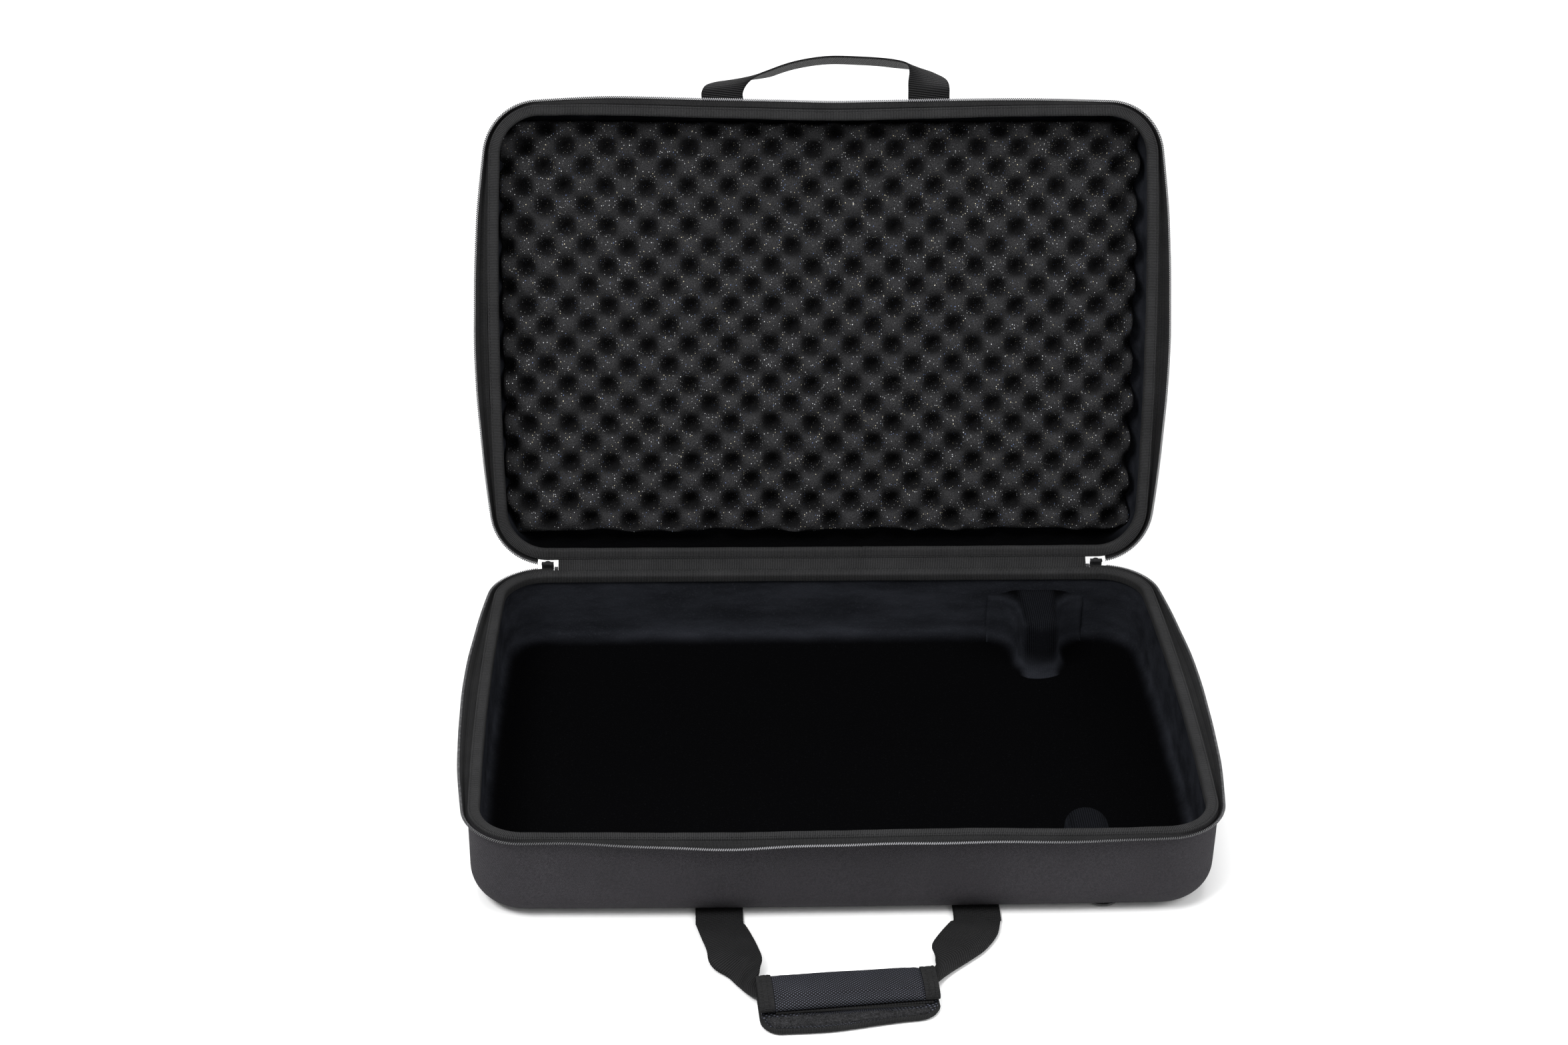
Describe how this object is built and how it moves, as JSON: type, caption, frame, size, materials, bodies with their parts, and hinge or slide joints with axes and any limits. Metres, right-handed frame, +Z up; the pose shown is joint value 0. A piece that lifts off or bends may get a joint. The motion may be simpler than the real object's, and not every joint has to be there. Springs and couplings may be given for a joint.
{
  "type": "carry case",
  "caption": "Zipped hard-shell carry case, open: lined base tray with locating posts, hinged lid with convoluted foam, webbing handles and a wrap grip.",
  "frame": {"origin": "middle of the base's flat bottom face, on the surface that the case stands on", "axes": "+X to the right along the case's width, +Y from the front to the lid's hinge, +Z up"},
  "size_m": [0.5178, 0.6454, 0.4143],
  "materials": {
    "shell_twill": "fine matt twill bonded to moulded EVA",
    "velvet_lining": "short-pile velvet",
    "binding": "ribbed grosgrain tape",
    "zip_tape": "woven zip tape",
    "zip_coil": "nylon coil",
    "hinge_fabric": "ribbed woven fabric",
    "foam": "open-cell convoluted foam with fine coloured speckle",
    "webbing": "woven polyester webbing",
    "grip_nylon": "coarse ballistic nylon",
    "grip_foam": "closed-cell padding",
    "hook_loop": "hook-and-loop tape",
    "thread": "polyester sewing thread",
    "slider_metal": "black painted zinc",
    "ring_metal": "black painted steel wire"
  },
  "bodies": {
    "base": {"base_shell": "shell_twill", "base_lining": "velvet_lining", "base_rim_binding": "binding", "base_zip_tape": "zip_tape", "base_zip_coil": "zip_coil", "hinge_leaf_base": "hinge_fabric", "zip_stops": "slider_metal", "post_rear": "velvet_lining", "post_front": "velvet_lining", "base_handle_anchors": "webbing", "base_handle_stitching": "thread", "d_ring_tabs": "webbing"},
    "lid": {"lid_shell": "shell_twill", "lid_lining": "velvet_lining", "lid_rim_binding": "binding", "lid_zip_tape": "zip_tape", "lid_zip_coil": "zip_coil", "hinge_leaf_lid": "hinge_fabric", "lid_foam_pad": "foam", "lid_handle_anchors": "webbing", "lid_handle_stitching": "thread"},
    "lid_handle": {"lid_handle_webbing": "webbing"},
    "base_handle": {"base_handle_leg_left": "webbing", "base_handle_leg_right": "webbing", "grip_webbing_core": "webbing", "grip_lower_panel": "grip_nylon", "grip_lower_binding": "binding", "grip_loop_strip": "hook_loop"},
    "grip_cover": {"grip_cover_panel": "grip_nylon", "grip_cover_foam": "grip_foam", "grip_cover_bindings": "binding", "grip_hook_strip": "hook_loop"},
    "slider_left": {"slider_left": "slider_metal"},
    "slider_right": {"slider_right": "slider_metal"},
    "pull_left": {"pull_left": "slider_metal"},
    "pull_right": {"pull_right": "slider_metal"},
    "d_ring_left": {"d_ring_left": "ring_metal"},
    "d_ring_right": {"d_ring_right": "ring_metal"}
  },
  "joints": [
    {"name": "lid_hinge", "type": "hinge", "parent": "base", "child": "lid", "pos_m": [0, 0.1736, 0.06725], "axis": [-1, 0, 0], "range_deg": [-106.9, 0]},
    {"name": "lid_handle_swing", "type": "hinge", "parent": "lid", "child": "lid_handle", "pos_m": [0, 0.32372, 0.38697], "axis": [1, 0, 0], "range_deg": [-78, 50]},
    {"name": "base_handle_swing", "type": "hinge", "parent": "base", "child": "base_handle", "pos_m": [0, -0.176, 0.0015], "axis": [-1, 0, 0], "range_deg": [0, 45]},
    {"name": "grip_cover_fold", "type": "hinge", "parent": "base_handle", "child": "grip_cover", "pos_m": [-0.00419, -0.23644, 0.0066], "axis": [-0.9976, -0.0698, 0], "range_deg": [0, 100]},
    {"name": "slider_left_travel", "type": "hinge", "parent": "base", "child": "slider_left", "pos_m": [-0.20709, 0.13023, 0.06725], "axis": [0, 0, 1], "range_deg": [0, 80]},
    {"name": "pull_left_swing", "type": "hinge", "parent": "slider_left", "child": "pull_left", "pos_m": [-0.20709, 0.17605, 0.06725], "axis": [0, 1, 0], "range_deg": [-30, 30]},
    {"name": "d_ring_left_swing", "type": "hinge", "parent": "base", "child": "d_ring_left", "pos_m": [-0.1708, -0.142, 0.0022], "axis": [-1, 0, 0], "range_deg": [0, 180]},
    {"name": "slider_right_travel", "type": "hinge", "parent": "base", "child": "slider_right", "pos_m": [0.20709, 0.13023, 0.06725], "axis": [0, 0, -1], "range_deg": [0, 80]},
    {"name": "pull_right_swing", "type": "hinge", "parent": "slider_right", "child": "pull_right", "pos_m": [0.20709, 0.17605, 0.06725], "axis": [0, 1, 0], "range_deg": [-30, 30]},
    {"name": "d_ring_right_swing", "type": "hinge", "parent": "base", "child": "d_ring_right", "pos_m": [0.1708, -0.142, 0.0022], "axis": [1, 0, 0], "range_deg": [0, 180]}
  ]
}
